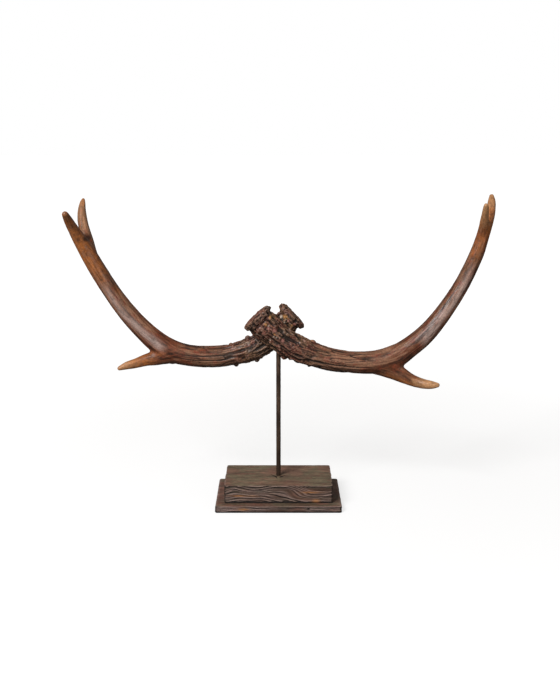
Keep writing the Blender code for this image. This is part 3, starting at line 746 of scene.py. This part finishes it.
def pearls(points, rough, chance):
    """Heights in mm of 200 small domes, size / 2 sqrt(1 - d^2), most of them where it is rough."""
    count = 200
    weight = rough**2 + 0.01
    spots = chance.choice(len(points), count, replace=False, p=weight / weight.sum())
    sizes = chance.uniform(1.1, 2.6, count) * (0.6 + 0.4 * rough[spots])
    domes = np.zeros(len(points))
    for spot, size in zip(points[spots], sizes):
        away = ((points - spot) ** 2).sum(axis=1) / size**2
        domes = np.maximum(domes, 0.5 * size * np.sqrt(np.clip(1 - away, 0, 1)))
    return domes


def spot_from_front(points, x, z, size):
    """1 on a spot seen from the front, a chip or a dark spot of painted shadow, and exp(-(d / size)^4) at
    distance d from its middle.
    """
    away = (points[:, 0] - x) ** 2 + (points[:, 2] - crossing - z) ** 2
    return np.exp(-(away / size**2) ** 2)


def antler(name, stations, burr, beads, forks, chips_and_shadows, seed, tips, crest, dark_and_shaded_sides, paler):
    """The whole antler as one skin: stems, burr and beads wrapped together, forks evened into
    smooth webs, then ridges, grooves, pearls and pits raised along the surface. Past the fork the
    beam has a low crest at one angle round it with a pale band along it, partly rubbed wear and
    partly a painted highlight, and dark sides, partly stain and partly painted shade. Before the
    fork its streaks are paler or darker by the last number. It also stores how hollow, proud and
    streaked each point is, where the antler pales towards its tips, where it is chipped to the
    bone, and painted shade under the lower beam and in dark spots of painted shadow."""
    chance = np.random.default_rng(seed)
    lines = {part: centre_line(given) for part, given in stations.items()}
    centre, axis = np.array(burr[0]), np.array(burr[1]) / np.linalg.norm(burr[1])
    radius, half_thick = burr[2:]
    across = np.cross(axis, (0.0, 1.0, 0.0))
    other = np.cross(axis, across)
    bead = np.array(beads, float)
    upright = np.tile([0.0, 0.0, 1.0], (len(bead), 1))
    shells = [stem(line) for line in lines.values()]
    shells += burr_shells(centre, axis, across, other, radius, half_thick, chance)
    shells += list(lumps(bead[:, :3], upright, bead[:, 3], bead[:, 3]))
    whole, points, edges = wrapped(name, shells, forks)
    normals = moved(whole, points + [0, 0, crossing])

    # Where each point lies: on which stem, how far past the lower fork, and how near the burr.
    found = {part: places(points, line) for part, line in lines.items()}
    share = np.stack([np.exp(-4 * place[3]) for place in found.values()])
    share /= share.sum(axis=0)
    travelled, turn, thick, _, _ = found["beam"]
    past_fork = travelled - places(np.array([forks[0]], float), lines["beam"])[0]
    crest_turn, (band_start, band_stop) = crest
    crest_at = np.interp(past_fork, [0, 90], crest_turn)
    from_burr = points - centre
    above = from_burr @ axis
    on_burr = smooth_step(9.5, 6.5, np.abs(above))
    on_burr *= smooth_step(0.9, 1.02, np.linalg.norm(from_burr, axis=1) / radius)
    on_end = smooth_step(0.3, 0.9, above / half_thick)
    rough = smooth_step(130, 55, travelled) * share[0]

    # The grown surface of each stem, its streaks, and the colours of its point.
    height, groove, streak, tan, ochre = (np.zeros(len(points)) for _ in range(5))
    for k, (part, (way, angle, wide, _, end)) in enumerate(found.items()):
        to_end = end - way
        if part == "beam":
            deep = (0.16 + 1.1 * smooth_step(-8, -110, past_fork)) * smooth_step(-2, 12, way)
            deep *= smooth_step(0, 90, to_end)
            angular = smooth_step(5, 50, past_fork) * smooth_step(0, 60, to_end)
            crest_rise = np.exp(-((angle - crest_at) / 0.5) ** 2)
            dip_beside = 0.4 * np.exp(-((angle - crest_at - 1.0) / 0.45) ** 2)
            height += share[k] * 0.45 * angular * (crest_rise - dip_beside)
        else:
            deep = 0.25 * smooth_step(8, 60, to_end)
        rise, in_groove = grooves(seed + 10 * k, way, angle, wide, deep)
        height += share[k] * rise
        groove += share[k] * in_groove
        b, c = wide * np.cos(angle), wide * np.sin(angle)
        calm = share[k] * (1 - 0.2 * smooth_step(-50, 0, past_fork))
        streak += calm * 0.9 * cloud(seed + 5 + k, way / 34, b / 3.2, c / 3.2)
        streak += calm * 0.8 * cloud(seed + 8 + k, way / 12, b / 1.3, c / 1.3)
        pale_from, pale, ochre_from, ochre_side = tips[part]
        tan_edge = to_end + 0.18 * pale_from * cloud(seed + 9, way / 9, b / 4, c / 4)
        tan += share[k] * pale * smooth_step(pale_from, 0.25 * pale_from, tan_edge)
        ochre_edge = to_end + 0.3 * ochre_from * cloud(seed + 7, way / 18, b / 5, c / 5)
        facing = 0.15 + 0.85 * smooth_step(-0.5, 0.35, np.cos(angle - ochre_side))
        ochre += share[k] * smooth_step(ochre_from, 0.45 * ochre_from, ochre_edge) * facing
    groove *= 1 - on_end
    streak += paler * smooth_step(30, -20, past_fork) * share[0]
    streak *= 1 - on_end

    # Ridges, pits and pearls where the beam is rough and on the burr, whose end face stays flat.
    b, c = thick * np.cos(turn), thick * np.sin(turn)
    ridges = rugged(seed + 40, travelled / 15, b / 5.5, c / 5.5)
    disc = rugged(seed + 44, above / 4, (from_burr @ across) / 6.5, (from_burr @ other) / 6.5)
    ridges = ridges + (disc - ridges) * np.maximum(on_burr, on_end)
    pits = cloud(seed + 42, *(points.T / 1.9))
    carved = rough * (1.9 * np.maximum(ridges, -1.1) + 0.5 * pits - 0.1)
    grown = height * (1 - np.max([on_burr, on_end, 0.5 * rough], axis=0))
    skin_thick = 0.28
    height = skin_thick + grown + carved + 0.7 * pearls(points, rough, chance)
    height = np.where(above > 0.7 * half_thick, np.clip(height, -2.5, 0.6), height)

    # The pale band along the crest, partly rubbed wear and partly a painted highlight, and the dark
    # sides, partly stain and partly painted shade.
    ragged = turn + 0.12 * cloud(seed + 62, travelled / 9, b / 3, c / 3)
    ragged = ragged + 0.1 * soft_noise(seed + 63, travelled / 30, 0 * turn)
    wear_and_highlight_band = np.exp(-(np.abs(ragged - crest_at) / 0.4) ** 3) * share[0]
    wear_and_highlight_band *= smooth_step(band_start, band_start + 20, past_fork)
    wear_and_highlight_band *= smooth_step(band_stop, band_stop - 45, past_fork)
    wear_and_highlight_band *= 0.7 + 0.3 * cloud(seed + 61, travelled / 16, b / 1.6, c / 1.6)
    shade = np.zeros(len(points))
    for middle, spread, strength, start, stop in dark_and_shaded_sides:
        around = (turn - middle + np.pi) % (2 * np.pi) - np.pi
        uneven = 1 + 0.35 * soft_noise(seed + 60, travelled / 14, turn * 2)
        here = np.exp(-((around / (spread * uneven)) ** 4)) * share[0]
        here = here * smooth_step(start - 15, start + 25, past_fork)
        here = here * smooth_step(stop + 35, stop - 15, past_fork)
        shade = np.maximum(shade, strength * here)
    points = points + normals * height[:, None] + [0, 0, crossing]
    points = np.clip(points, np.array(cad_low) / MM, np.array(cad_high) / MM)
    normals = moved(whole, points)

    # How far each point stands proud of the skin close by and further round, then what is stored.
    close_by = ((points - evened(points, edges, 3)) * normals).sum(axis=1)
    wide_by = ((points - evened(points, edges, 30)) * normals).sum(axis=1)
    fork_place = np.array(forks[0]) + [0, 0, crossing]
    at_fork = smooth_step(75, 20, np.linalg.norm(points - fork_place, axis=1))
    proud = close_by / 0.12 + wide_by / 0.7 * (1 - 0.9 * at_fork)
    crevice = 0.9 * rough * smooth_step(0.0, -1.5, carved)
    hollow = smooth_step(0.2, 1.8, -proud) + 0.95 * groove * (1 - 0.5 * rough) + crevice
    at_ends = [smooth_step(24, 6, place[4] - place[0]) for place in found.values()]
    tip = (share * at_ends).sum(axis=0)
    raised = smooth_step(0.2, 1.7, proud) * (1 - tip) * (1 - 0.5 * on_burr)
    ochre *= 1 - 0.5 * tip
    kinds = [np.max([spot_from_front(points, *given_spot) for given_spot in kind], axis=0) for kind in chips_and_shadows]
    chips_and_shadow_spots = np.stack(kinds, axis=1) * smooth_step(0.1, -0.3, normals[:, 1])[:, None]
    # Painted shade on the undersides of the lower beam and dark spots of painted shadow go in with the dark
    # sides.
    underside_shade = smooth_step(-0.15, -0.65, normals[:, 2]) * smooth_step(-45, -85, past_fork)
    shade = np.clip(np.max([shade, 0.9 * underside_shade, chips_and_shadow_spots[:, 3]], axis=0), 0, 1)
    paint(whole, "wear", np.stack([np.clip(hollow, 0, 1), raised, 0.5 + 0.5 * streak], axis=1))
    paint(whole, "zones", np.stack([tan, ochre, shade], axis=1))
    paint(whole, "regions", np.stack([rough, on_burr, at_fork], axis=1))
    paint(whole, "rubbing_and_highlight", np.stack([wear_and_highlight_band, smooth_step(-60, 10, past_fork), 0 * wear_and_highlight_band], axis=1))
    paint(whole, "chips", chips_and_shadow_spots[:, :3])
    return whole


def grown_antler(name, shift, fork_red, burr_dark, burr_light):
    """Antler: brown mottled with grey and red, dark in its grooves, grey-pink where rubbed, ochre
    and then tan towards the tips, olive, maroon and near black round the burr, near black where
    shade is painted on its sides and undersides and in dark spots, and a pale band along the crest,
    partly rubbed wear and partly a painted highlight."""
    dark_brown, brown, russet = (0.14, 0.044, 0.018), (0.215, 0.102, 0.055), (0.25, 0.056, 0.026)
    fork_russet, pale_streak, dark_streak = (0.2, 0.054, 0.023), (0.34, 0.17, 0.1), (0.036, 0.013, 0.006)
    ochre_horn, tan_horn = (0.43, 0.14, 0.033), (0.62, 0.325, 0.15)
    maroon, olive = (0.14, 0.034, 0.024), (0.125, 0.075, 0.033)
    pale_crust, black_crust = (0.4, 0.25, 0.2), (0.01, 0.005, 0.004)
    dark_stain_and_shade, pale_crest_wear_and_highlight = (0.026, 0.01, 0.006), (0.58, 0.43, 0.38)
    stain, rubbed = (0.01, 0.005, 0.003), (0.4, 0.215, 0.14)
    bones = {"X": (0.55, 0.27, 0.09), "Y": (0.62, 0.52, 0.42), "Z": (0.36, 0.15, 0.12)}

    made, tree, shader = surface(name)
    wear, zones, regions, rubbing_and_highlight, chips = (
        painted(tree, label)[1] for label in ("wear", "zones", "regions", "rubbing_and_highlight", "chips")
    )

    def share(value, amount):
        """The value times a fixed amount."""
        return figure(tree, "MULTIPLY", value, amount)

    place = add(tree, "TexCoord").outputs["Object"]
    place = add(tree, "Mapping", {"Vector": place, "Location": shift}).outputs[0]
    spots = mottles(tree, place, 34.0)
    color = mixed(tree, between(tree, spots["Broad"], 0.44, 0.56), dark_brown, brown)
    color = mixed(tree, between(tree, spots["Small"], 0.5, 0.6, 0.0, 0.85), color, russet)
    color = mixed(tree, share(regions["Z"], fork_red), color, fork_russet)
    color = mixed(tree, between(tree, wear["Z"], 0.52, 0.82, 0.0, 0.85), color, pale_streak)
    color = mixed(tree, between(tree, wear["Z"], 0.48, 0.2, 0.0, 0.9), color, dark_streak)
    ochre = figure(tree, "MULTIPLY", zones["Y"], between(tree, spots["Small"], 0.35, 0.55, 0.4, 1.0))
    color = mixed(tree, ochre, color, ochre_horn)
    color = mixed(tree, zones["X"], color, tan_horn)
    crusted = mixed(tree, between(tree, spots["Broad"], 0.46, 0.54), maroon, olive)
    crusted = mixed(tree, between(tree, spots["Small"], 0.58, 0.64), crusted, pale_crust)
    crusted = mixed(tree, between(tree, spots["Small"], 0.47, 0.41), crusted, black_crust)
    color = mixed(tree, share(regions["X"], 0.85), color, crusted)
    plate = mixed(tree, between(tree, spots["Small"], 0.44, 0.58), burr_dark, burr_light)
    color = mixed(tree, share(regions["Y"], 0.8), color, plate)
    # Near black where shade is painted: the dark sides, partly stain, the undersides and the shadow spots.
    color = mixed(tree, share(zones["Z"], 0.88), color, dark_stain_and_shade)
    # The pale band along the crest, partly rubbed wear and partly a painted highlight.
    color = mixed(tree, share(rubbing_and_highlight["X"], 0.95), color, pale_crest_wear_and_highlight)
    color, stain_rough = worn(tree, color, wear["X"], wear["Y"], stain, rubbed, 0.95, 0.5)
    for label, bone in bones.items():
        color = mixed(tree, share(chips[label], 0.9), color, bone)
    color = shaded(tree, color, between(tree, spots["Speck"], 0.3, 0.7, 0.75, 1.25))
    tree.links.new(color, shader.inputs["Base Color"])
    rough = between(tree, rubbing_and_highlight["Y"], 0.0, 1.0, 0.4, 0.33)
    rough = figure(tree, "ADD", rough, between(tree, regions["Z"], 0.0, 1.0, 0.0, 0.12))
    rough = figure(tree, "ADD", rough, between(tree, spots["Small"], 0.3, 0.7, -0.05, 0.06))
    tree.links.new(figure(tree, "ADD", stain_rough, rough), shader.inputs["Roughness"])
    height = figure(tree, "ADD", spots["Speck"], share(wear["Z"], 0.8))
    bump = add(tree, "Bump", {"Height": height, "Strength": 0.35, "Distance": 0.0006})
    tree.links.new(bump.outputs[0], shader.inputs["Normal"])
    shader.inputs["Specular IOR Level"].default_value = 0.36
    shader.inputs["Coat Weight"].default_value = 0.06
    shader.inputs["Coat Roughness"].default_value = 0.3
    return made


left_antler = antler(
    "left_antler", left_stations, left_burr, left_beads, left_forks, left_chips_and_shadows, seed=4,
    tips={
        "beam": (8, 0.1, 150, -1.2), "high_point": (85, 0.35, 12, -1.2), "lower_tine": (34, 0.6, 70, -1.2),
    },
    crest=((-1.6, -1.36), (-20, 125)),
    dark_and_shaded_sides=[(np.pi, 1.1, 0.5, 85, 135), (0.15, 0.5, 0.6, 12, 95)],
    paler=-0.25,
)
left_antler.data.materials.append(grown_antler(
    "rubbed antler", shift=(0.0, 0.0, 0.0), fork_red=0.8,
    burr_dark=(0.016, 0.006, 0.005), burr_light=(0.078, 0.029, 0.026),
))
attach(left_antler, "root")
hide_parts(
    "left_antler_lower_beam", "left_antler_lower_tine", "left_antler_upper_beam",
    "left_antler_front_point", "left_antler_back_point",
)


# Right antler: the other of the pair, in front at the crossing, so its burr is the left-hand one.
# The same solid antler, glued across the other one and over the rod's head.

right_stations = {
    "beam": [
        (-28.6, -11, 31, 18.6), (-20.8, -11, 23, 19.6), (-11.7, -10, 14.5, 19), (0.8, -9, 4, 18.4),
        (16.3, -8.5, -7.3, 18.2), (34.6, -8, -16.4, 17.6), (55.8, -7, -24.1, 16.8), (77, -5, -29.9, 15.9),
        (100, -3, -33.4, 15.5), (123, -1, -34.6, 15.9), (144.5, 0, -33, 16.8), (165, 1, -26.6, 17),
        (184, 2, -14.4, 14.8), (206.3, 3, 4.4, 13.6), (225.9, 3, 28.4, 12.3), (241.7, 3, 52, 11.2),
        (255.6, 3, 76.1, 10.6), (267, 2, 101.2, 10.1), (275.9, 1, 125.3, 9.6), (282.2, 1, 147.6, 9.1),
        (288.8, 6, 164.2, 7.8), (293.6, 14, 178, 6.8), (295.8, 22, 190, 5.4), (296.3, 26, 196.6, 3.2),
    ],
    "high_point": [
        (279, 0, 140, 7.6), (280.5, -5, 156, 7.2), (279.2, -14, 169, 6), (278.2, -22, 178.4, 5.2),
        (277, -29, 186.2, 4), (276.4, -31, 188.4, 3),
    ],
    "lower_tine": [
        (136, 0, -36.6, 14.4), (152, 0, -41.4, 14.2), (168, -3, -48.4, 12), (183.5, -8, -56, 9.4),
        (194.3, -12, -59.6, 8), (205, -17, -61.6, 6.8), (215.6, -21, -62, 5.4), (222.4, -24, -61.4, 3.3),
    ],
}
right_burr = ((-29.0, -11.0, 31.2), (-0.68, 0.0, 0.73), 21.8, 4.8)
right_beads = [
    (8.6, -8.5, -23.6, 4.8), (26.9, -8, -30.0, 3.6), (48.6, -7, -5.6, 4.4), (29.0, -8, 1.0, 4.2),
    (43, -7, -37.0, 3.4), (164, -3.5, -37, 12), (151, -3, -37, 13.6), (158, -2, -42.5, 12),
    (138, -4, -37, 12), (128, -4, -36, 12),
]
right_forks = [(177, 0, -38.5), (284, -3, 164)]
right_chips_and_shadows = [
    [(-17.6, 26.4, 2.0), (-11.5, 35.2, 1.8), (46.4, 0.6, 1.8), (-5.4, 12.0, 1.2)],
    [(-29.9, 10.9, 1.5), (-13.6, 24.0, 1.3), (-11.6, 3.9, 1.2), (-6.5, 8.6, 1.0), (-2.5, 8.0, 1.0),
     (-33.0, 36.0, 1.0)],
    [(-4.7, 18.0, 3.0), (-14.0, 21.0, 2.0), (6.0, 3.0, 2.4), (-20.0, 14.0, 1.8)],
    [(188, -27, 5.0), (-4.0, 27.0, 4.0), (-22.0, 8.0, 4.0), (-17.5, 19.5, 2.4)],
]
right_antler = antler(
    "right_antler", right_stations, right_burr, right_beads, right_forks, right_chips_and_shadows, seed=9,
    tips={
        "beam": (34, 0.65, 105, -1.9), "high_point": (44, 0.95, 70, -1.6), "lower_tine": (44, 0.95, 110, 2.6),
    },
    crest=((-1.66, -1.66), (30, 180)),
    dark_and_shaded_sides=[(0.0, 0.8, 0.45, 20, 150), (np.pi, 0.75, 1.0, 26, 45), (np.pi, 0.5, 0.4, 45, 150)],
    paler=0.25,
)
right_antler.data.materials.append(grown_antler(
    "rubbed antler in front", shift=(0.31, 0.17, 0.05), fork_red=0.3,
    burr_dark=(0.02, 0.018, 0.012), burr_light=(0.115, 0.096, 0.07),
))
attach(right_antler, "root")
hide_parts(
    "right_antler_lower_beam", "right_antler_lower_tine", "right_antler_upper_beam",
    "right_antler_front_point", "right_antler_back_point",
)


# Stage: a plain pale floor that glows for the camera, more towards its edges, under a pale surround, a large
# soft light from the upper left, a weak one from the right, and the camera at the photograph's place.

floor_mesh = bpy.data.meshes.new("floor")
floor_mesh.from_pydata([(-30, -30, 0), (30, -30, 0), (30, 30, 0), (-30, 30, 0)], [], [(0, 1, 2, 3)])
floor = bpy.data.objects.new("floor", floor_mesh)
bpy.context.scene.collection.objects.link(floor)
pale, tree, shader = surface("pale floor")
ray = add(tree, "LightPath").outputs["Is Camera Ray"]
place = add(tree, "TexCoord").outputs["Object"]
away = add(tree, "VectorMath", {0: place}, operation="LENGTH").outputs["Value"]
glow = between(tree, away, 0.25, 1.6, 0.74, 1.0)
seen = shaded(tree, mixed(tree, ray, (0.0, 0.0, 0.0), (1.0, 1.0, 1.0)), glow)
tree.links.new(seen, shader.inputs["Emission Color"])
shader.inputs["Emission Strength"].default_value = 1.0
tree.links.new(mixed(tree, ray, (0.16, 0.155, 0.15), (0.34, 0.34, 0.34)), shader.inputs["Base Color"])
shader.inputs["Roughness"].default_value = 1.0
shader.inputs["Specular IOR Level"].default_value = 0.0
floor.data.materials.append(pale)

world = bpy.data.worlds.new("soft surround")
world.use_nodes = True
bpy.context.scene.world = world
sky = world.node_tree.nodes["Background"]
ray = add(world.node_tree, "LightPath").outputs["Is Camera Ray"]
surround = mixed(world.node_tree, ray, (0.19, 0.175, 0.16), (1.0, 1.0, 1.0))
world.node_tree.links.new(surround, sky.inputs["Color"])
sky.inputs["Strength"].default_value = 1.0


def soft_light(name, place, target, size, power):
    """A square light that faces its target."""
    lamp = bpy.data.lights.new(name, "AREA")
    lamp.size = size
    lamp.energy = power
    made = bpy.data.objects.new(name, lamp)
    made.location = place
    aim = np.array(target) - np.array(place)
    across = math.hypot(aim[0], aim[1])
    made.rotation_euler = (math.atan2(across, -aim[2]), 0.0, math.atan2(-aim[0], aim[1]))
    bpy.context.scene.collection.objects.link(made)
    return made


soft_light("key light", (-1.25, -1.7, 1.9), (0, 0, 0.22), 1.0, 69.0)
soft_light("fill light", (1.7, -2.0, 0.6), (0, 0, 0.3), 1.6, 11.0)

lens = bpy.data.cameras.new("camera")
lens.lens = 46.75
lens.sensor_width = 36.0
camera = bpy.data.objects.new("camera", lens)
camera.location = (0.0022, -1.2532, 0.5128)
camera.rotation_euler = (math.radians(77.0), 0.0, 0.0)
bpy.context.scene.collection.objects.link(camera)
bpy.context.scene.camera = camera
bpy.context.scene.view_settings.view_transform = "Standard"
